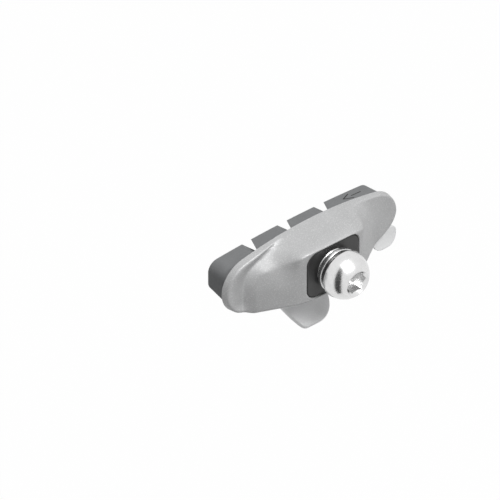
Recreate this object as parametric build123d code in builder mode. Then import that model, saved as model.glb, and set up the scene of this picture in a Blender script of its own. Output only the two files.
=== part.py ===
from build123d import *
import math
import os

os.makedirs("parts", exist_ok=True)

# A rim brake pad for a road bicycle. X runs along the pad towards its leading end, Z points away
# from the wheel's hub, and -Y points out from the rim towards the bolt head. The origin is on the
# bolt's axis, on the face of the seat block that the brake arm's washers bear on.

# Rubber block
pad_length = 49.4          # length of the rubbing face
pad_height = 8.7           # height of the rubbing face
pad_stand = 7.1            # how far the rubber stands out of the holder's rim
pad_curve_radius = 300.0   # both long edges follow the wheel's rim
pad_corner_radius = 2.8    # corners of the rubbing face
side_draft = 0.13          # growth of the half height for each mm away from the rubbing face
end_draft = 0.04           # growth of the half length for each mm away from the rubbing face
foot_stand = 0.5           # how far the rubber's foot stands proud of the rim
foot_flare = 1.5           # hollow flare from the block down to its foot
flare_corner = 1.6         # how much faster the corners grow than the flare
flare_sink = 0.05          # how far the flare runs into the foot

# Chevron grooves
groove_pitch = 11.2
groove_count = 3
groove_width = 2.9         # at the rubbing face, along X
groove_root = 1.1          # width of the rounded bottom
groove_depth = 5.6
groove_shift = 4.7         # how far the apex lies ahead of the groove's ends
groove_offset = 2.6        # middle of the middle groove's apex, ahead of the bolt's axis
eye_radius = 1.5           # round recess where the middle groove passes the bolt's axis

# Cast holder
holder_height = 9.1        # from the rim to the seat
rim_end_x = 18.9           # centres of the rounded ends
rim_end_z = -0.85
rim_end_radius = 7.6
rim_wall = 0.6             # metal left round the rubber's foot
pocket_depth = 0.4         # how deep the foot sits in the rim
skirt_root = 1.8           # height of the flange where the hump rises from it
skirt_fall = 2.8           # how fast the flange falls away from the hump
wall_draft = 6.0           # draft of the holder's outer wall, in degrees
lip_stand = 0.3            # lip of the window above the seat
rim_edge = 0.4             # rounding where the front meets the outer wall
station_step = 1.8         # spacing of the sections that the front is lofted through
level_step = 0.55          # spacing of the points along each section
front_margin = 1.5         # how far the sections run past the rim's outline

# Hump of the holder
hump_half_length = 20.6
hump_squareness = 3.2
hump_long_power = 2.4
hump_high_power = 4.0
hump_shoulder = 9.0        # where the front starts to fall towards the ends
hump_slope = 0.56
shoulder_blend = 1.2
band_middle = 0.06         # half width of the hump's side, as a share of its size
band_end = 0.05

# Window and seat block
window_width = 16.1
window_height = 13.2
window_corner = 3.0
window_edge = 0.3          # rounding of the lip
seat_gap = 0.12            # gap between the seat block and the window
seat_edge = 0.35
seat_foot_width = 21.0     # the wider foot that holds the seat block behind the lip
seat_foot_top = 4.2        # from the seat to the foot

# Wheel guides
guide_bend_radius = 11.8
guide_bend_angle = 57.0
guide_root_depth = 8.2     # the guides' middle line, behind the rubbing face
guide_root_z = -7.3
guide_top_z = -6.9         # inside the casting, below the window
guide_root_thickness = 2.2
guide_tip_thickness = 1.3
guide_left_root = -12.1
guide_left_tip = -6.3
guide_right = 3.3
guide_tip_z = -18.1
guide_small_corner = 1.0
guide_corner_width = 5.6   # the large corner at the guide's right
guide_corner_height = 4.4
guide_hollow = 2.6         # hollow between the guide and the holder's underside
lobe_start = 18.9
lobe_end = 25.8
lobe_bottom = -8.4
lobe_top = -4.2
lobe_corner = 2.6

# Bolt, nut and washers
thread_diameter = 6.0
thread_gap = 0.05
seat_hole_gap = 0.25
nut_across_flats = 10.0
nut_thickness = 5.2
nut_cover = 2.2            # seat block left in front of the nut
seat_washer_diameter = 9.6
seat_washer_height = 2.2    # of the whole dome, before its bore
cup_washer_diameter = 11.2
cup_washer_top = 2.1       # from the seat to the cup washer's outer face
cup_washer_thickness = 1.1
cup_hole_gap = 0.4         # wider bore, so that the cup can tilt on the dome
washer_edge = 0.2          # rounding of the washers' outer edges
spacer_diameter = 8.9
spacer_thickness = 1.4
head_diameter = 12.1
head_band = 0.4            # straight band at the foot of the dome, which is part of a ball
head_flat_diameter = 6.9
socket_across_flats = 5.0
socket_depth = 3.2
socket_lead = 0.45
bolt_end_gap = 0.5         # between the bolt's end and the rubber

# The rim's outline and the hump keep their metal round the window
crown_top = window_height / 2 + 2.1      # middle of the rim's upper edge
crown_bottom = window_height / 2 + 1.5   # middle of its lower edge, which arches with the wheel
hump_base_z = -window_height / 2 - 1.4
hump_rise = window_height + 2.6          # from the base line to the hump's top edge

face_y = holder_height + pad_stand
rim_y = holder_height
pocket_y = rim_y - pocket_depth


def behind_face(depth):
    """Y of a point that lies a depth behind the rubbing face."""
    return face_y - depth


def ease(share):
    """A step from 0 to 1 that starts and ends level."""
    share = min(max(share, 0.0), 1.0)
    return share * share * (3 - 2 * share)


# Outlines


def curved_bar(depth, growth=0.0):
    """The block's outline on the plane that lies a depth behind the rubbing face."""
    half_length = pad_length / 2 + end_draft * depth
    half_height = pad_height / 2 + side_draft * depth + growth
    drop = half_length**2 / (2 * pad_curve_radius)
    with BuildSketch(Plane.XZ.offset(-behind_face(depth))) as bar:
        with BuildLine():
            top = ThreePointArc(
                (-half_length, half_height - drop), (0, half_height), (half_length, half_height - drop)
            )
            bottom = ThreePointArc(
                (half_length, -half_height - drop), (0, -half_height), (-half_length, -half_height - drop)
            )
            Line(top @ 1, bottom @ 0)
            Line(bottom @ 1, top @ 0)
        make_face()
        fillet(bar.vertices(), pad_corner_radius + flare_corner * growth)
    return bar.sketch


def crown_arc(crown, side):
    """Three points of the long arc that joins both rounded ends, on the upper or lower side."""
    rise = crown + side * -rim_end_z
    radius = (rim_end_x**2 + rise**2 - rim_end_radius**2) / (2 * (rise - rim_end_radius))
    to_end = Vector(rim_end_x, side * (radius - rise)).normalized()
    to_end *= math.copysign(rim_end_radius, radius)
    touch = Vector(rim_end_x, rim_end_z) + to_end
    return (-touch.X, touch.Y), (0, side * crown), (touch.X, touch.Y)


def rim_outline(y, inset=0.0):
    """The lens shape of the holder's rim, on a plane at y."""
    end_x = rim_end_x + rim_end_radius
    with BuildSketch(Plane.XZ.offset(-y)) as outline:
        with BuildLine():
            top = ThreePointArc(*crown_arc(crown_top, 1))
            bottom = ThreePointArc(*crown_arc(crown_bottom, -1))
            ThreePointArc(top @ 0, (-end_x, rim_end_z), bottom @ 0)
            ThreePointArc(top @ 1, (end_x, rim_end_z), bottom @ 1)
        make_face()
        if inset:
            offset(amount=-inset, mode=Mode.REPLACE)
    return outline.sketch


# Form of the holder's front


def hump_measure(x, z):
    """Below 1 inside the hump's outline, and above 1 outside it."""
    along = (abs(x) / hump_half_length) ** hump_long_power
    across = (max(z - hump_base_z, 0.0) / hump_rise) ** hump_high_power
    return (along + across) ** (1 / hump_squareness)


def hump_front(x):
    """Height of the hump's face over the rim: level over the window, then falling to both ends."""
    beyond = abs(x) - hump_shoulder
    fall = (beyond + math.hypot(beyond, shoulder_blend)) / 2
    return holder_height + lip_stand - hump_slope * fall


def front_y(x, z):
    """Y of the holder's front, a flange with the hump rising out of it."""
    measure = hump_measure(x, z)
    band = band_middle + (band_end - band_middle) * min(abs(x) / hump_half_length, 1.0)
    flange = skirt_root - skirt_fall * max(measure - 1.0, 0.0)
    hump = max(hump_front(x) - flange, 0.0)
    return rim_y - flange - hump * ease((1 + band - measure) / (2 * band))


# Brake block

foot_depth = pad_stand - foot_stand
flare_start = foot_depth - foot_flare + flare_sink
flare_turns = [0, 30, 60, 85]

with BuildPart() as brake_block:
    extrude(rim_outline(behind_face(foot_depth), rim_wall), amount=foot_stand + pocket_depth)
    loft([curved_bar(0).face(), curved_bar(flare_start).face()])
    loft(
        [
            curved_bar(
                flare_start + foot_flare * math.sin(math.radians(turn)),
                foot_flare * (1 - math.cos(math.radians(turn))),
            ).face()
            for turn in flare_turns
        ]
    )
    for i in range(groove_count):
        apex = groove_offset - groove_width / 2 + (i - (groove_count - 1) / 2) * groove_pitch
        with BuildSketch(Plane.XY, mode=Mode.PRIVATE) as groove:
            with BuildLine():
                Polyline(
                    (apex, face_y + 1),
                    (apex + groove_width, face_y + 1),
                    (apex + groove_width, face_y),
                    (apex + groove_root, behind_face(groove_depth)),
                    (apex, behind_face(groove_depth)),
                    close=True,
                )
            make_face()
            fillet(groove.vertices().group_by(Axis.Y)[0], groove_root * 0.45)
        for side in (1, -1):
            lean = Vector(-groove_shift, 0, side * pad_height / 2)
            extrude(groove.sketch, amount=2.2 * lean.length, dir=lean.normalized(), mode=Mode.SUBTRACT)
    with BuildSketch(Plane.XZ.offset(-face_y)):
        Circle(eye_radius)
    extrude(amount=groove_depth, mode=Mode.SUBTRACT)
brake_block.part.label = "brake_block"
export_step(brake_block.part, "parts/brake_block.step")


# Wheel guides


def bend_point(angle, shift):
    """A point on the guides' bend, shifted from its middle line towards the wheel."""
    turn = math.radians(angle)
    radius = guide_bend_radius + shift
    bend_y = behind_face(guide_root_depth) - guide_bend_radius
    return bend_y + radius * math.cos(turn), guide_root_z - radius * math.sin(turn)


def bend_profile(x, top_z, hollow=0.0):
    """Section of a guide at x, with a hollow where it leaves the holder's underside."""
    half_root = guide_root_thickness / 2
    half_tip = guide_tip_thickness / 2
    half_middle = (half_root + half_tip) / 2
    half_turn = guide_bend_angle / 2
    root_y = behind_face(guide_root_depth)
    with BuildSketch(Plane.YZ.offset(x)) as section:
        with BuildLine():
            inner = ThreePointArc(
                bend_point(0, half_root),
                bend_point(half_turn, half_middle),
                bend_point(guide_bend_angle, half_tip),
            )
            outer = ThreePointArc(
                bend_point(guide_bend_angle, -half_tip),
                bend_point(half_turn, -half_middle),
                bend_point(0, -half_root),
            )
            Line(inner @ 1, outer @ 0)
            Polyline(outer @ 1, (root_y - half_root, top_z), (root_y + half_root, top_z), inner @ 0)
        make_face()
        if hollow:
            with Locations((root_y, guide_root_z)):
                Rectangle(half_root + 1.5 * hollow, top_z - guide_root_z, align=(Align.MAX, Align.MIN))
            corner = section.vertices().sort_by_distance((root_y - half_root, guide_root_z))[0]
            fillet(corner, hollow)
    return section.sketch


with BuildPart() as guide:
    extrude(bend_profile(guide_left_root, guide_top_z, guide_hollow), amount=guide_right - guide_left_root)
    with BuildSketch(Plane.XZ.offset(-face_y)) as tongue:
        with BuildLine():
            corner = EllipticalCenterArc(
                (guide_right - guide_corner_width, guide_tip_z + guide_corner_height),
                guide_corner_width,
                guide_corner_height,
                start_angle=-90,
                arc_size=90,
            )
            Polyline(
                corner @ 1,
                (guide_right, guide_top_z),
                (guide_left_root, guide_top_z),
                (guide_left_root, guide_root_z),
                (guide_left_tip, guide_tip_z),
                corner @ 0,
            )
        make_face()
        tip_corner = tongue.vertices().sort_by_distance((guide_left_tip, guide_tip_z))[0]
        fillet(tip_corner, guide_small_corner)
    extrude(amount=2 * face_y, mode=Mode.INTERSECT)

with BuildPart() as lobe:
    extrude(bend_profile(lobe_start, lobe_top), amount=lobe_end - lobe_start)
    with BuildSketch(Plane.XZ.offset(-face_y)) as lobe_outline:
        with Locations(((lobe_start + lobe_end) / 2, lobe_bottom)):
            Rectangle(lobe_end - lobe_start, lobe_top - lobe_bottom, align=(Align.CENTER, Align.MIN))
        fillet(lobe_outline.vertices().group_by(Axis.Y)[0], lobe_corner)
    extrude(amount=2 * face_y, mode=Mode.INTERSECT)

# Holder

reach = rim_end_x + rim_end_radius + front_margin
stations = [i * station_step for i in range(-round(reach / station_step), round(reach / station_step) + 1)]
lowest = math.floor((-crown_bottom - front_margin) / level_step)
highest = math.ceil((crown_top + front_margin) / level_step)
levels = [i * level_step for i in range(lowest, highest + 1)]


def in_window(point):
    """Whether a point lies on the window's edge at the front of the holder."""
    within_width = abs(point.X) < window_width / 2 + seat_gap
    within_height = abs(point.Z) < window_height / 2 + seat_gap
    return within_width and within_height and point.Y < seat_foot_top / 4


with BuildPart() as holder:
    for x in stations:
        with BuildSketch(Plane.YZ.offset(x)):
            with BuildLine():
                front = Spline(*[(front_y(x, z), z) for z in levels])
                Polyline(front @ 1, (rim_y, levels[-1]), (rim_y, levels[0]), front @ 0)
            make_face()
    loft()
    extrude(rim_outline(rim_y), amount=holder_height + 2, taper=wall_draft, mode=Mode.INTERSECT)
    front_face = holder.faces().filter_by(GeomType.BSPLINE).sort_by(SortBy.AREA)[-1]
    fillet(front_face.edges(), rim_edge)
    with BuildSketch(Plane.XZ.offset(-pocket_y)):
        RectangleRounded(window_width, window_height, window_corner)
    extrude(amount=holder_height + 2, mode=Mode.SUBTRACT)
    lip = [edge for edge in holder.edges() if in_window(edge.center())]
    fillet(lip, window_edge)
    add(guide.part)
    add(lobe.part)
    extrude(rim_outline(rim_y, rim_wall), amount=pocket_depth, mode=Mode.SUBTRACT)
    with BuildSketch(Plane.XZ.offset(-pocket_y)):
        RectangleRounded(seat_foot_width, window_height, window_corner)
    extrude(amount=pocket_y - seat_foot_top, mode=Mode.SUBTRACT)
holder.part.label = "holder"
export_step(holder.part, "parts/holder.step")

# Seat block

with BuildPart() as seat_block:
    with BuildSketch(Plane.XZ):
        RectangleRounded(window_width - 2 * seat_gap, window_height - 2 * seat_gap, window_corner - seat_gap)
    extrude(amount=-pocket_y)
    with BuildSketch(Plane.XZ.offset(-seat_foot_top)):
        RectangleRounded(
            seat_foot_width - 2 * seat_gap, window_height - 2 * seat_gap, window_corner - seat_gap
        )
    extrude(amount=seat_foot_top - pocket_y)
    fillet(seat_block.faces().sort_by(Axis.Y)[0].edges(), seat_edge)
    with BuildSketch(Plane.XZ):
        Circle(thread_diameter / 2 + seat_hole_gap)
    extrude(amount=-pocket_y, mode=Mode.SUBTRACT)
    with BuildSketch(Plane.XZ.offset(-nut_cover)):
        RegularPolygon(nut_across_flats / 2, 6, major_radius=False)
    extrude(amount=-nut_thickness, mode=Mode.SUBTRACT)
seat_block.part.label = "seat_block"
export_step(seat_block.part, "parts/seat_block.step")

# Clamp nut

with BuildPart() as clamp_nut:
    with BuildSketch(Plane.XZ.offset(-nut_cover)):
        RegularPolygon(nut_across_flats / 2, 6, major_radius=False)
        Circle(thread_diameter / 2 + thread_gap, mode=Mode.SUBTRACT)
    extrude(amount=-nut_thickness)
clamp_nut.part.label = "clamp_nut"
export_step(clamp_nut.part, "parts/clamp_nut.step")

# Washers

hole_radius = thread_diameter / 2 + seat_hole_gap
cup_seat_radius = seat_washer_diameter / 2
dome_radius = (cup_seat_radius**2 + seat_washer_height**2) / (2 * seat_washer_height)
dome_centre_y = dome_radius - seat_washer_height
cup_back_y = cup_washer_thickness - cup_washer_top
head_y = -cup_washer_top - spacer_thickness


def dome_y(radius):
    """Y of the seat washer's dome at a distance from the bolt's axis."""
    return dome_centre_y - math.sqrt(dome_radius**2 - radius**2)


with BuildPart() as seat_washer:
    with BuildSketch(Plane.XY):
        with BuildLine():
            dome = ThreePointArc(
                (cup_seat_radius, dome_y(cup_seat_radius)),
                ((cup_seat_radius + hole_radius) / 2, dome_y((cup_seat_radius + hole_radius) / 2)),
                (hole_radius, dome_y(hole_radius)),
            )
            Polyline(dome @ 1, (hole_radius, 0), dome @ 0)
        make_face()
    revolve(axis=Axis.Y)
seat_washer.part.label = "seat_washer"
export_step(seat_washer.part, "parts/seat_washer.step")

with BuildPart() as cup_washer:
    with BuildSketch(Plane.XZ.offset(-cup_back_y)):
        Circle(cup_washer_diameter / 2)
    extrude(amount=cup_washer_thickness)
    fillet(cup_washer.edges(), washer_edge)
    with BuildSketch(Plane.XZ):
        Circle(thread_diameter / 2 + cup_hole_gap)
    extrude(amount=cup_washer_top, mode=Mode.SUBTRACT)
    with Locations((0, dome_centre_y, 0)):
        Sphere(dome_radius, mode=Mode.SUBTRACT)
cup_washer.part.label = "cup_washer"
export_step(cup_washer.part, "parts/cup_washer.step")

with BuildPart() as spacer_washer:
    with BuildSketch(Plane.XZ.offset(cup_washer_top)):
        Circle(spacer_diameter / 2)
    extrude(amount=spacer_thickness)
    fillet(spacer_washer.edges(), washer_edge)
    with BuildSketch(Plane.XZ.offset(cup_washer_top)):
        Circle(hole_radius)
    extrude(amount=spacer_thickness, mode=Mode.SUBTRACT)
spacer_washer.part.label = "spacer_washer"
export_step(spacer_washer.part, "parts/spacer_washer.step")

# Fixing bolt

head_radius = head_diameter / 2
flat_radius = head_flat_diameter / 2
dome_start_y = head_y - head_band
dome_turn = math.degrees(math.acos(flat_radius / head_radius))
tip_y = dome_start_y - math.sqrt(head_radius**2 - flat_radius**2)
socket_radius = socket_across_flats / 2

with BuildPart() as fixing_bolt:
    with BuildSketch(Plane.XY):
        with BuildLine():
            Line((0, tip_y), (flat_radius, tip_y))
            head = CenterArc(
                (0, dome_start_y), head_radius, start_angle=-dome_turn, arc_size=dome_turn
            )
            Polyline(
                head @ 1,
                (head_radius, head_y),
                (thread_diameter / 2, head_y),
                (thread_diameter / 2, pocket_y - bolt_end_gap),
                (0, pocket_y - bolt_end_gap),
                (0, tip_y),
            )
        make_face()
    revolve(axis=Axis.Y)
    with BuildSketch(Plane.XZ.offset(-tip_y)):
        RegularPolygon(socket_radius, 6, major_radius=False)
    extrude(amount=-socket_depth, mode=Mode.SUBTRACT)
    with BuildSketch(Plane.XZ.offset(-tip_y)):
        Circle(flat_radius - socket_lead / 2)
    extrude(amount=-socket_lead * 2, taper=45, mode=Mode.SUBTRACT)
fixing_bolt.part.label = "fixing_bolt"
export_step(fixing_bolt.part, "parts/fixing_bolt.step")
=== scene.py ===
import math

import bmesh
import bpy
from mathutils import Matrix, Vector


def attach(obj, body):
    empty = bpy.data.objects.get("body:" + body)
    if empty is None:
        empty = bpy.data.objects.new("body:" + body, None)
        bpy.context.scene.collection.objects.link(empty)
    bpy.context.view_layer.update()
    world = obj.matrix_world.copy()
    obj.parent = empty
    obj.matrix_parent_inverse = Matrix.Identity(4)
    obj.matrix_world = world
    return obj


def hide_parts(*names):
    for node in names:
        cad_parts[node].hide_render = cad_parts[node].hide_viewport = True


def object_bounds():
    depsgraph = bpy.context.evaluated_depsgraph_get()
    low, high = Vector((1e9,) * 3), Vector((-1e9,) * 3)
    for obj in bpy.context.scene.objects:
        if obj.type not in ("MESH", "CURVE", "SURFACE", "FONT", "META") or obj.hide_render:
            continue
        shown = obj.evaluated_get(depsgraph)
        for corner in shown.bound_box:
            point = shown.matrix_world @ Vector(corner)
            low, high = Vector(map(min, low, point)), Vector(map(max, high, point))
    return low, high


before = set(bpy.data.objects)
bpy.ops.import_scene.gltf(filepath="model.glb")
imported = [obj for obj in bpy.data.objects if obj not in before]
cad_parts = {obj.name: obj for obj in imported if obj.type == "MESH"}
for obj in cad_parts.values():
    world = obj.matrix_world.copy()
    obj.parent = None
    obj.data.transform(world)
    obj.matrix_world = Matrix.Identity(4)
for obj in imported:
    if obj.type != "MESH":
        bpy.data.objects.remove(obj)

cad_low, cad_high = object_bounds()

MM = 0.001


# Camera, at the photograph's angle

azimuth = math.radians(-40.0)
elevation = math.radians(37.5)
camera_distance = 2.0
pixels_per_metre = 4240.0
frame_pixels = 500
aim_depth = Vector((0.0, 16.2 * MM, 0.0))     # middle of the rubbing face
aim_pixel = (288.6, 234.0)                    # where the photograph has it

to_camera = Vector(
    (
        math.sin(azimuth) * math.cos(elevation),
        -math.cos(azimuth) * math.cos(elevation),
        math.sin(elevation),
    )
)
to_right = Vector((math.cos(azimuth), math.sin(azimuth), 0.0))
to_top = to_camera.cross(to_right)

camera_data = bpy.data.cameras.new("camera")
camera = bpy.data.objects.new("camera", camera_data)
bpy.context.scene.collection.objects.link(camera)
bpy.context.scene.camera = camera
middle = frame_pixels / 2
aim = (
    aim_depth
    + to_right * (middle - aim_pixel[0]) / pixels_per_metre
    + to_top * (aim_pixel[1] - middle) / pixels_per_metre
)
camera_data.sensor_width = 36.0
camera_data.lens = camera_data.sensor_width * camera_distance * pixels_per_metre / frame_pixels
camera_data.clip_start = 0.1
camera_data.clip_end = 20.0
camera.rotation_mode = "QUATERNION"
camera.location = aim + to_camera * camera_distance
camera.rotation_quaternion = Matrix((to_right, to_top, to_camera)).transposed().to_quaternion()


# Materials

line_softness = 0.08                          # millimetres over which a drawn line fades


class Signal:
    """A value in a tree of nodes. Sums written with it add the nodes that work them out."""

    def __init__(self, nodes, socket):
        self.nodes = nodes
        self.socket = socket

    def _maths(self, operation, first, second):
        return self.nodes.node("ShaderNodeMath", {"operation": operation}, {0: first, 1: second})

    def __add__(self, other):
        return self._maths("ADD", self, other)

    __radd__ = __add__

    def __mul__(self, other):
        return self._maths("MULTIPLY", self, other)

    __rmul__ = __mul__

    def __sub__(self, other):
        return self._maths("SUBTRACT", self, other)

    def __rsub__(self, other):
        return self._maths("SUBTRACT", other, self)

    def __abs__(self):
        return self._maths("ABSOLUTE", self, 0.0)

    def above(self, edge, width):
        """0 below the edge and 1 above it, with a soft step as wide as width."""
        return self.nodes.node(
            "ShaderNodeMapRange",
            {"interpolation_type": "SMOOTHSTEP"},
            {"Value": self, "From Min": edge - width / 2, "From Max": edge + width / 2},
        )

    def within(self, reach_mm):
        """1 where the value is below a length in millimetres, with a soft edge."""
        return 1 - self.above(reach_mm * MM, line_softness * MM)


class Nodes:
    """The tree of nodes of a material or of the world."""

    def __init__(self, tree):
        self.tree = tree

    def node(self, kind, settings=None, inputs=None, output=0):
        """Adds a node, sets it, fills its sockets with values or signals, and gives one output."""
        made = self.tree.nodes.new(kind)
        for key, value in (settings or {}).items():
            setattr(made, key, value)
        for key, value in (inputs or {}).items():
            if isinstance(value, Signal):
                self.link(value, made.inputs[key])
            else:
                made.inputs[key].default_value = value
        return Signal(self, made.outputs[output])

    def link(self, signal, socket):
        """Connects a signal to a socket."""
        self.tree.links.new(signal.socket, socket)

    def seen_rays(self):
        """1 for what the camera or a reflection sees, and 0 for what lights the part."""
        camera_rays = self.node("ShaderNodeLightPath", output="Is Camera Ray")
        glossy_rays = self.node("ShaderNodeLightPath", output="Is Glossy Ray")
        return camera_rays + glossy_rays


class Finish(Nodes):
    """A material on one Principled shader, with a texture place in metres."""

    def __init__(self, name, **constants):
        self.material = bpy.data.materials.new(name)
        self.material.use_nodes = True
        super().__init__(self.material.node_tree)
        self.shader = self.tree.nodes["Principled BSDF"]
        for socket, value in constants.items():
            self.shader.inputs[socket.replace("_", " ")].default_value = value
        self.place = self.node("ShaderNodeTexCoord", output="Object")

    def noise(self, grain_mm, detail=2.0, roughness=0.5, place=None):
        """Noise from 0 to 1 whose spots are about as large as grain_mm."""
        return self.node(
            "ShaderNodeTexNoise",
            {"noise_dimensions": "3D"},
            {
                "Vector": place or self.place,
                "Scale": 1.0 / (grain_mm * MM),
                "Detail": detail,
                "Roughness": roughness,
            },
        )

    def stretched(self, scale):
        """The texture place with each axis scaled."""
        return self.node("ShaderNodeMapping", {}, {"Vector": self.place, "Scale": scale})

    def mix(self, factor, first, second):
        """Colour that goes from first to second."""
        return self.node(
            "ShaderNodeMix", {"data_type": "RGBA"}, {0: factor, 6: first, 7: second}, output=2
        )

    def bump(self, height, depth_mm, strength, below=None):
        """Normal from a height of 0 to 1 that stands for depth_mm, over a normal below it."""
        inputs = {"Height": height, "Distance": depth_mm * MM, "Strength": strength}
        if below:
            inputs["Normal"] = below
        return self.node("ShaderNodeBump", {}, inputs)

    def wire(self, **signals):
        """Connects signals to the shader's sockets, and gives the finished material."""
        for socket, signal in signals.items():
            self.link(signal, self.shader.inputs[socket.replace("_", " ")])
        return self.material


def grey(value, warmth=0.0):
    """An opaque colour that is nearly grey."""
    return (value * (1 + warmth), value, value * (1 - warmth), 1.0)


# Plain arrow on the rubber's upper side, in millimetres
arrow_y, arrow_lowest_z, arrow_fade = 14.0, 3.2, 0.2
arrow_tip_x, barb_slope = 15.0, 0.47
barb_middle_x, barb_half_length, barb_half_width = 16.2, 1.25, 0.19
shaft_middle_x, shaft_half_length, shaft_half_width = 18.95, 1.5, 0.16


def arrow_mark(finish):
    """1 on the arrow's lines."""
    apart = finish.node("ShaderNodeSeparateXYZ", {}, {"Vector": finish.place})
    across, deep, high = (Signal(finish, apart.socket.node.outputs[i]) for i in range(3))
    off_line = abs(deep - arrow_y * MM)
    off_barb = abs(off_line - (across - arrow_tip_x * MM) * barb_slope)
    shaft_length = abs(across - shaft_middle_x * MM).within(shaft_half_length)
    barb_length = abs(across - barb_middle_x * MM).within(barb_half_length)
    shaft = off_line.within(shaft_half_width) * shaft_length
    barbs = off_barb.within(barb_half_width) * barb_length
    on_top = high.above(arrow_lowest_z * MM, arrow_fade * MM)
    return ((shaft + barbs) * on_top).above(0.5, 0.6)


def rubber_finish():
    """Matte moulded rubber with dust in its grain and an arrow on its upper side."""
    finish = Finish("rubber", Specular_IOR_Level=0.35)
    grain = finish.noise(0.16, 3.0, 0.6)
    cloud = finish.noise(4.0, 3.0)
    dust = finish.noise(0.5, 4.0, 0.65).above(0.62, 0.16)
    colour = finish.mix(grain * 0.55 + cloud * 0.45, grey(0.16, -0.02), grey(0.26, -0.02))
    colour = finish.mix(dust * 0.25, colour, grey(0.30))
    colour = finish.mix(arrow_mark(finish), colour, grey(0.035))
    return finish.wire(
        Base_Color=colour,
        Roughness=0.62 + grain * 0.2,
        Normal=finish.bump(grain, 0.05, 0.8, finish.bump(cloud, 0.12, 0.5)),
    )


def casting_finish(name, dark, pale):
    """Satin silver paint with a fine grain and a faint sparkle."""
    finish = Finish(name, Metallic=0.18)
    grain = finish.noise(0.13, 2.0, 0.6)
    flakes = finish.noise(0.26, 1.0, 0.4)
    cloud = finish.noise(6.0, 2.0)
    sparkle = flakes.above(0.6, 0.12)
    colour = finish.mix(grain * 0.6 + cloud * 0.4, grey(dark, -0.006), grey(pale, -0.006))
    colour = finish.mix(sparkle * 0.4, colour, grey(min(pale * 1.2, 0.95)))
    return finish.wire(
        Base_Color=colour,
        Roughness=0.46 - sparkle * 0.1 + cloud * 0.06,
        Normal=finish.bump(grain * 0.6 + flakes * 0.4, 0.02, 0.6),
    )


def nylon_finish():
    """Black nylon with a faint gloss."""
    finish = Finish("black_nylon")
    grain = finish.noise(0.22, 3.0, 0.6)
    cloud = finish.noise(3.0)
    return finish.wire(
        Base_Color=finish.mix(grain, grey(0.022), grey(0.045)),
        Roughness=0.36 + cloud * 0.16,
        Normal=finish.bump(grain, 0.02, 0.5, finish.bump(cloud, 0.1, 0.4)),
    )


def steel_finish(name, dark, pale, roughness, ring_roughness):
    """Bare metal, with faint marks of turning round the bolt's axis."""
    finish = Finish(name, Metallic=1.0)
    rings = finish.noise(0.10, 2.0, 0.6, finish.stretched((0.25, 1.0, 0.25)))
    cloud = finish.noise(1.6, 3.0)
    specks = finish.noise(0.35, 3.0, 0.7).above(0.66, 0.1)
    colour = finish.mix(cloud * 0.6 + rings * 0.4, grey(dark), grey(pale))
    colour = finish.mix(specks * 0.3, colour, grey(dark * 0.6))
    return finish.wire(
        Base_Color=colour,
        Roughness=roughness + rings * ring_roughness + specks * 0.15,
        Normal=finish.bump(rings, 0.006, 0.5, finish.bump(cloud, 0.02, 0.6)),
    )


finishes = {
    "brake_block": rubber_finish(),
    "holder": casting_finish("silver_casting", 0.35, 0.58),
    "seat_block": nylon_finish(),
    "clamp_nut": steel_finish("plain_steel", 0.42, 0.60, 0.25, 0.2),
    "seat_washer": steel_finish("bright_steel", 0.62, 0.84, 0.15, 0.12),
    # The spacer washer's steel is far darker than the other steel, which paints shade into the gap
    # under the bolt head
    "spacer_washer": steel_finish("dark_steel", 0.10, 0.20, 0.30, 0.2),
}
finishes["cup_washer"] = finishes["fixing_bolt"] = finishes["seat_washer"]
for name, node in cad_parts.items():
    node.data.materials.clear()
    node.data.materials.append(finishes[name])


# Objects made of finished shapes

sharp_angle = math.radians(38.0)


def new_object(name, shape, materials):
    """An object whose mesh is the shape, linked into the scene."""
    mesh = bpy.data.meshes.new(name)
    shape.to_mesh(mesh)
    shape.free()
    for material in materials:
        mesh.materials.append(material)
    piece = bpy.data.objects.new(name, mesh)
    bpy.context.scene.collection.objects.link(piece)
    return piece


def stage_piece(name, shape, material):
    """An object that isn't part of the pad."""
    piece = new_object(name, shape, [material])
    return piece


def joined(shapes):
    """One shape of several, with their faces turned outwards."""
    whole = bmesh.new()
    for shape in shapes:
        bmesh.ops.recalc_face_normals(shape, faces=shape.faces)
        one = bpy.data.meshes.new("one_shape")
        shape.to_mesh(one)
        shape.free()
        whole.from_mesh(one)
        bpy.data.meshes.remove(one)
    return whole


def smooth_but_for_edges(shape):
    """Smooth shading, apart from edges that turn by the sharp angle or more."""
    for face in shape.faces:
        face.smooth = True
    for seam in shape.edges:
        seam.smooth = seam.calc_face_angle(0.0) < sharp_angle


# Casting of the holder. Its numbers are in millimetres until the mesh is finished

# Lens-shaped rim, the window in its front and the seat block's foot behind the window
rim_end_x, rim_end_z, rim_end_radius = 18.9, -0.85, 7.6
crown_top, crown_bottom = 8.7, 8.1
rim_y, pocket_y, seat_foot_y = 9.1, 8.7, 4.2
rim_wall = 0.6
wall_draft = math.tan(math.radians(6.0))
window_half_width, window_half_height, window_corner = 8.05, 6.6, 3.0
seat_foot_half_width = 10.5
rim_rounding, lower_rounding, lip_rounding = 0.5, 1.0, 0.3
lower_growth_x = 14.0                         # where the lower rounding has grown to twice its size

# Outline of the hump round the window. A pair in brackets is for the trailing and the leading side
side_change = 14.0                            # length over which one side's values become the other's
hump_base_z, hump_half_length = -8.0, 20.3
hump_rise, hump_end_rise = 15.9, (14.0, 15.2)
narrowing_start, narrowing_length = 7.0, 9.0
along_power, across_power, outline_root = 3.0, 6.0, 4.5

# How widely the hump's edge runs into the flange, as a share of the outline
edge_band, edge_end_band = 0.08, (0.034, 0.14)
soft_stretch = (9.0, 12.0, 14.0, 18.0)        # X where it begins, is full, starts to fade, and ends
soft_stretch_band = 0.05

# Flange, whose edge stands up beyond the hump
flange_depth = (1.3, 1.5)
raised_edge, raised_edge_start, raised_edge_reach = (0.6, 0.1), 0.6, 0.14
lower_flange, lower_flange_z, lower_flange_height = 0.6, -4.8, 3.0

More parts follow.
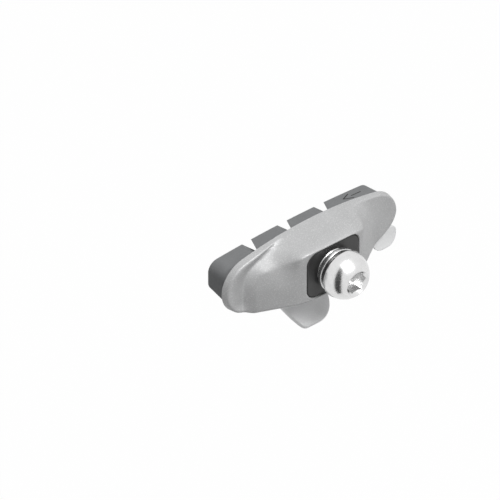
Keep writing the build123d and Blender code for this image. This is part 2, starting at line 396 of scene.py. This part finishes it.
# Crest of the hump, level over the window and falling to both ends
hump_height = 9.4
shoulder_x, shoulder_softness, end_slope = 9.0, 1.4, (0.56, 0.74)
crest_softness = (0.3, 1.6)
turn_over, turn_over_z = 0.03, -3.0           # how its ends turn over towards their upper edge
turn_over_start, turn_over_length = 9.3, 4.5

# Rows and slices of the mesh
slice_spacing = 0.3
round_steps, front_steps, wall_steps = 5, 60, 6
inset_step = 0.01
lip_share, edge_share = 0.3, 0.45             # most of the front's width that a rounding may take
flank_half_length, flank_margin, flank_passes = 16.0, 2, 30
merge_distance = 1e-4


def ease(share):
    """A step from 0 to 1 that starts and ends level."""
    share = min(max(share, 0.0), 1.0)
    return share * share * (3 - 2 * share)


def blend(first, second, share):
    """A value that goes from first to second."""
    return first + (second - first) * share


def soft_rise(height, softness):
    """The height where it is above 0, and 0 below, with a soft turn between."""
    return (height + math.hypot(height, softness)) / 2


def hump_measure(place, leading):
    """Where a place (X, Z) lies in the hump's outline: 1 on it, and less inside.

    Here and below, leading goes from 0 on the trailing side to 1 on the leading side.
    """
    off_middle = abs(place.x)
    narrowing = ease((off_middle - narrowing_start) / narrowing_length)
    rise = blend(hump_rise, blend(*hump_end_rise, leading), narrowing)
    along = (off_middle / hump_half_length) ** along_power
    across = (max(place.y - hump_base_z, 0.0) / rise) ** across_power
    return (along + across) ** (1 / outline_root)


def hump_band(off_middle, leading):
    """Half the width of the hump's edge, which has a softer stretch on the trailing side."""
    to_end = min(off_middle / hump_half_length, 1.0)
    begins, full, fades, ends = soft_stretch
    softer = ease((off_middle - begins) / (full - begins)) * ease((ends - off_middle) / (ends - fades))
    band = blend(edge_band, blend(*edge_end_band, leading), to_end)
    return band + soft_stretch_band * (1 - leading) * softer


def flange_front(place, leading, beyond):
    """How far the flange stands in front of the rim. Beyond is how far out of the hump it lies."""
    to_end = min(abs(place.x) / hump_half_length, 1.0)
    edge = blend(*raised_edge, leading) * to_end * ease(beyond / raised_edge_reach)
    lower = (1 - leading) * lower_flange * ease((lower_flange_z - place.y) / lower_flange_height)
    return blend(*flange_depth, leading) + edge + lower


def crest_fall(place, leading):
    """How far the hump's front lies behind its level middle."""
    off_middle = abs(place.x)
    slope = soft_rise(off_middle - shoulder_x, shoulder_softness) * blend(*end_slope, leading)
    turned_over = turn_over * max(place.y - turn_over_z, 0.0) ** 2
    return slope + turned_over * ease((off_middle - turn_over_start) / turn_over_length)


def front_y(place):
    """Y of the casting's front at a place (X, Z): the flange, its raised edge and the hump."""
    leading = ease((place.x + side_change / 2) / side_change)
    measure = hump_measure(place, leading)
    band = hump_band(abs(place.x), leading)
    flange = flange_front(place, leading, measure - 1 - band * raised_edge_start)
    level = hump_height - flange
    hump = min(soft_rise(level - crest_fall(place, leading), blend(*crest_softness, leading)), level)
    return rim_y - flange - hump * ease((1 + band - measure) / (2 * band))


def rim_arc(reach, side):
    """Centre of a long arc of the rim's outline, and where the arc meets the leading end."""
    rise = reach - side * rim_end_z
    radius = (rim_end_x**2 + rise**2 - rim_end_radius**2) / (2 * (rise - rim_end_radius))
    to_end = Vector((rim_end_x, side * (radius - rise))).normalized()
    touch = Vector((rim_end_x, rim_end_z)) + to_end * math.copysign(rim_end_radius, radius)
    return Vector((0.0, side * (reach - radius))), touch


def arc(centre, start, end, turn, spacing):
    """Evenly spaced points of an arc with their outward directions, up to but not at its end."""
    radius = (start - centre).length
    first = math.atan2(start.y - centre.y, start.x - centre.x)
    sweep = (math.atan2(end.y - centre.y, end.x - centre.x) - first) % math.tau
    if turn < 0:
        sweep -= math.tau
    count = max(round(abs(sweep) * radius / spacing), 1)
    points = []
    for i in range(count):
        angle = first + sweep * i / count
        way = Vector((math.cos(angle), math.sin(angle)))
        points.append((centre + way * radius, way * turn))
    return points


def flip(point):
    """The point on the other side of the middle."""
    return Vector((-point.x, point.y))


def rim_points(spacing):
    """The rim's lens shape, anticlockwise from the top of its leading end."""
    top_centre, top_touch = rim_arc(crown_top, 1)
    low_centre, low_touch = rim_arc(crown_bottom, -1)
    end = Vector((rim_end_x, rim_end_z))
    low_turn = -1 if low_centre.y < -crown_bottom else 1
    return (
        arc(top_centre, top_touch, flip(top_touch), 1, spacing)
        + arc(flip(end), flip(top_touch), flip(low_touch), 1, spacing)
        + arc(low_centre, flip(low_touch), low_touch, low_turn, spacing)
        + arc(end, low_touch, top_touch, 1, spacing)
    )


def box_reach(way, half_width, half_height, corner):
    """How far a rounded box reaches from its middle in a direction."""
    near, far = 0.0, half_width + half_height
    while far - near > 1e-5:
        reach = (near + far) / 2
        across = max(abs(way.x) * reach - half_width + corner, 0.0)
        up = max(abs(way.y) * reach - half_height + corner, 0.0)
        if math.hypot(across, up) < corner:
            near = reach
        else:
            far = reach
    return near


def casting_slice(rim, outward):
    """One slice of the casting, from the window's lip over the front to the rim and back inside."""
    way = rim.normalized()
    window = way * box_reach(way, window_half_width, window_half_height, window_corner)
    foot = way * box_reach(way, seat_foot_half_width, window_half_height, window_corner)
    inset = 0.0
    while inset < (rim_y - front_y(rim - outward * inset)) * wall_draft:
        inset += inset_step
    front = rim - outward * inset
    room = (front - window).length
    below = lower_rounding * (1 + ease(rim.x / lower_growth_x))
    rounding = blend(rim_rounding, below, max(-outward.y, 0.0))
    lip, edge = min(lip_rounding, room * lip_share), min(rounding, room * edge_share)
    start, stop = window + way * lip, front - outward * edge
    turns = [math.pi / 2 * i / round_steps for i in range(round_steps + 1)]
    places = [
        (start - way * lip * math.sin(turn), lip * (1 - math.cos(turn))) for turn in reversed(turns)
    ]
    places += [(start.lerp(stop, i / front_steps), 0.0) for i in range(1, front_steps)]
    places += [
        (stop + outward * edge * math.sin(turn), edge * (1 - math.cos(turn))) for turn in turns
    ]
    points = [Vector((place.x, front_y(place) + sink, place.y)) for place, sink in places]
    outer = points[-1]
    rim_point = Vector((rim.x, rim_y, rim.y))
    points += [outer.lerp(rim_point, i / wall_steps) for i in range(1, wall_steps + 1)]
    inner = rim - outward * rim_wall
    for place, y in (
        (inner, rim_y),
        (inner, pocket_y),
        (foot, pocket_y),
        (foot, seat_foot_y),
        (window, seat_foot_y),
    ):
        points.append(Vector((place.x, y, place.y)))
    return points + points[:1]


def casting_body():
    """A ring round the window, extruded row by row over the front, round the rim and back inside."""
    slices = [casting_slice(*point) for point in rim_points(slice_spacing)]
    shape = bmesh.new()
    bmesh.ops.create_circle(shape, cap_ends=False, radius=1.0, segments=len(slices))
    number = shape.verts.layers.int.new("slice")
    on_front = shape.verts.layers.int.new("front")
    for corner in shape.verts:
        turn = math.atan2(corner.co.y, corner.co.x) % math.tau
        corner[number] = round(turn / math.tau * len(slices)) % len(slices)
    for corner in shape.verts:
        corner.co = slices[corner[number]][0]
    edges = shape.edges[:]
    for row in range(1, len(slices[0])):
        made = bmesh.ops.extrude_edge_only(shape, edges=edges)["geom"]
        edges = [item for item in made if isinstance(item, bmesh.types.BMEdge)]
        for corner in made:
            if isinstance(corner, bmesh.types.BMVert):
                corner.co = slices[corner[number]][row]
                corner[on_front] = flank_margin < row - round_steps < front_steps - flank_margin
    bmesh.ops.remove_doubles(shape, verts=shape.verts, dist=merge_distance)
    flank = [
        corner for corner in shape.verts if corner[on_front] and abs(corner.co.x) < flank_half_length
    ]
    for _ in range(flank_passes):
        bmesh.ops.smooth_vert(shape, verts=flank, factor=0.5, use_axis_y=True)
    return shape


# Both guides are cut from a flat blank, which is then bent round the wheel

bend_y, bend_z, bend_radius = -3.8, -7.3, 11.8
bend_length = bend_radius * math.radians(57.0)
bend_spacing = 0.4
root_hollow, hollow_y = 2.6, 3.87
hollow_middle = Vector((hollow_y - bend_y, root_hollow))      # from the bend's centre
corner_segments, edge_segments = 12, 4
guide_painted_light_slot = 1                            # place in the casting's list of the guides' finish, a paler copy of the casting's that paints light onto them


def bend_rear(angle, half_thickness, hollow):
    """Radius of the guide's rear face, which runs into the root's hollow."""
    plain = bend_radius - half_thickness
    if not hollow or angle > math.atan2(hollow_middle.y, hollow_middle.x):
        return plain
    along = math.cos(angle) * hollow_middle.x + math.sin(angle) * hollow_middle.y
    inside = along**2 - hollow_middle.length_squared + root_hollow**2
    return min(along + math.sqrt(max(inside, 0.0)), plain)


def cut_blank(corners, thickness, edge_rounding):
    """A flat blank. Its corners are (along X, down the bend, rounding)."""
    shape = bmesh.new()
    outline = [shape.verts.new((x, down, -thickness / 2)) for x, down, _ in corners]
    shape.faces.new(outline)
    for corner, (_, _, rounding) in zip(outline, corners):
        if rounding:
            bmesh.ops.bevel(
                shape,
                geom=[corner],
                offset=rounding,
                affect="VERTICES",
                segments=corner_segments,
                profile=0.5,
                material=-1,
            )
    made = bmesh.ops.extrude_face_region(shape, geom=shape.faces[:])["geom"]
    lifted = [item for item in made if isinstance(item, bmesh.types.BMVert)]
    bmesh.ops.translate(shape, verts=lifted, vec=(0, 0, thickness))
    rims = [seam for seam in shape.edges if seam.verts[0].co.z * seam.verts[1].co.z > 0]
    bmesh.ops.bevel(
        shape,
        geom=rims,
        offset=edge_rounding,
        affect="EDGES",
        segments=edge_segments,
        profile=0.5,
        material=-1,
    )
    return shape


def bent_guide(corners, root_thickness, tip_thickness, edge_rounding, hollow):
    """A blank bent to the wheel's curve, as thick at its root and at its tip as given."""
    shape = cut_blank(corners, tip_thickness, edge_rounding)
    for face in shape.faces:
        face.material_index = guide_painted_light_slot
    lowest, highest = min(down for _, down, _ in corners), max(down for _, down, _ in corners)
    cuts = round((highest - lowest) / bend_spacing)
    for i in range(1, cuts):
        bmesh.ops.bisect_plane(
            shape,
            geom=shape.verts[:] + shape.edges[:] + shape.faces[:],
            plane_co=(0, lowest + (highest - lowest) * i / cuts, 0),
            plane_no=(0, 1, 0),
        )
    for corner in shape.verts:
        x, down, depth = corner.co
        share = min(max(down / bend_length, 0.0), 1.0)
        half_thickness = blend(root_thickness, tip_thickness, share) / 2
        angle = max(down, 0.0) / bend_radius
        rear = bend_rear(angle, half_thickness, hollow)
        radius = blend(rear, bend_radius + half_thickness, depth / tip_thickness + 0.5)
        height = bend_z - radius * math.sin(angle) - min(down, 0.0)
        corner.co = (x, bend_y + radius * math.cos(angle), height)
    return shape


# Wheel guide. Its sides are along X, and its root is a way down the bend
guide_root_left, guide_tip_left, guide_right = -12.1, -6.3, 3.3
guide_root = 0.4
guide_tip_roundings = (5.0, 1.1)              # at its right and left corner
guide_thickness = (2.2, 1.3)                  # at its root and at its tip
guide_rounding = 0.35

# Lobe at the rim's leading end, whose top lies above the bend
lobe_left, lobe_right, lobe_top, lobe_foot = 19.2, 26.3, -2.6, 3.0
lobe_roundings = (2.2, 3.0, 2.4)              # from its upper right corner, clockwise
lobe_thickness = (0.6, 1.5)
lobe_rounding = 0.25

wheel_guide = bent_guide(
    [
        (guide_root_left, guide_root, 0.0),
        (guide_right, guide_root, 0.0),
        (guide_right, bend_length, guide_tip_roundings[0]),
        (guide_tip_left, bend_length, guide_tip_roundings[1]),
    ],
    *guide_thickness,
    edge_rounding=guide_rounding,
    hollow=True,
)
guide_lobe = bent_guide(
    [
        (lobe_left, lobe_top, 0.0),
        (lobe_right, lobe_top, lobe_roundings[0]),
        (lobe_right, lobe_foot, lobe_roundings[1]),
        (lobe_left, lobe_foot, lobe_roundings[2]),
    ],
    *lobe_thickness,
    edge_rounding=lobe_rounding,
    hollow=False,
)

holder_shape = joined([casting_body(), wheel_guide, guide_lobe])
bmesh.ops.scale(holder_shape, vec=(MM, MM, MM), verts=holder_shape.verts)
smooth_but_for_edges(holder_shape)
# The guides take a second, much paler copy of the casting's finish, which paints light onto them
casting = new_object(
    "holder_casting",
    holder_shape,
    [finishes["holder"], casting_finish("painted_light_casting", 0.74, 0.90)],
)
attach(casting, "root")
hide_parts("holder")


# Floor, light and background


def stage_material(name, colour, background):
    """A matte colour. The camera and reflections see mostly the background's white in it."""
    finish = Finish(name, Roughness=0.9, Base_Color=colour)
    white = finish.node("ShaderNodeEmission", {}, {"Color": grey(1.0), "Strength": 1.0})
    matte = Signal(finish, finish.shader.outputs[0])
    share = finish.seen_rays() * background
    mixed = finish.node("ShaderNodeMixShader", {}, {0: share, 1: matte, 2: white})
    finish.link(mixed, finish.tree.nodes["Material Output"].inputs["Surface"])
    return finish.material


floor_gap, floor_half_size = 60.0 * MM, 3.0
floor_height = cad_low.z - floor_gap
flat = bmesh.new()
bmesh.ops.create_grid(flat, x_segments=2, y_segments=2, size=floor_half_size)
bmesh.ops.translate(flat, verts=flat.verts, vec=(0, 0, floor_height))
stage_piece("floor", flat, stage_material("pale_floor", grey(0.45), 0.99))

# A dark card standing beside the pad, which only shows as a streak in the bright bolt
card_x, card_y, card_gap = -38.0 * MM, -23.0 * MM, 1.0 * MM
card_width, card_height = 22.0 * MM, 150.0 * MM
card = bmesh.new()
bmesh.ops.create_grid(card, x_segments=1, y_segments=1, size=0.5)
bmesh.ops.scale(card, vec=(card_width, card_height, 1.0), verts=card.verts)
bmesh.ops.rotate(card, verts=card.verts, matrix=Matrix.Rotation(math.pi / 2, 3, "X"))
bmesh.ops.rotate(card, verts=card.verts, matrix=Matrix.Rotation(math.pi / 2, 3, "Z"))
card_middle = (card_x, card_y, floor_height + card_gap + card_height / 2)
bmesh.ops.translate(card, verts=card.verts, vec=card_middle)
dark_card = stage_piece("dark_card", card, Finish("dark_card", Base_Color=grey(0.03)).material)
dark_card.visible_camera = dark_card.visible_diffuse = dark_card.visible_shadow = False


def soft_light(name, direction, distance, size, level):
    """A square lamp, (right, up, towards the camera) of the part, at the level a white card shows."""
    data = bpy.data.lights.new(name, "AREA")
    data.shape = "SQUARE"
    data.size = size
    data.energy = level * math.pi**2 * distance**2
    lamp = bpy.data.objects.new(name, data)
    bpy.context.scene.collection.objects.link(lamp)
    way = (to_right * direction[0] + to_top * direction[1] + to_camera * direction[2]).normalized()
    lamp.location = way * distance
    lamp.rotation_mode = "QUATERNION"
    lamp.rotation_quaternion = way.to_track_quat("Z", "Y")


soft_light("top_light", (0.3, 0.55, 0.85), distance=0.6, size=0.4, level=1.08)

world = bpy.data.worlds.new("world")
bpy.context.scene.world = world
world.use_nodes = True
background = world.node_tree.nodes["Background"]
background.inputs["Color"].default_value = grey(1.0)
shade_level = 0.16                            # how strongly the surroundings light the part
sky = Nodes(world.node_tree)
sky.link(shade_level + sky.seen_rays() * (1 - shade_level), background.inputs["Strength"])
bpy.context.scene.view_settings.view_transform = "Standard"
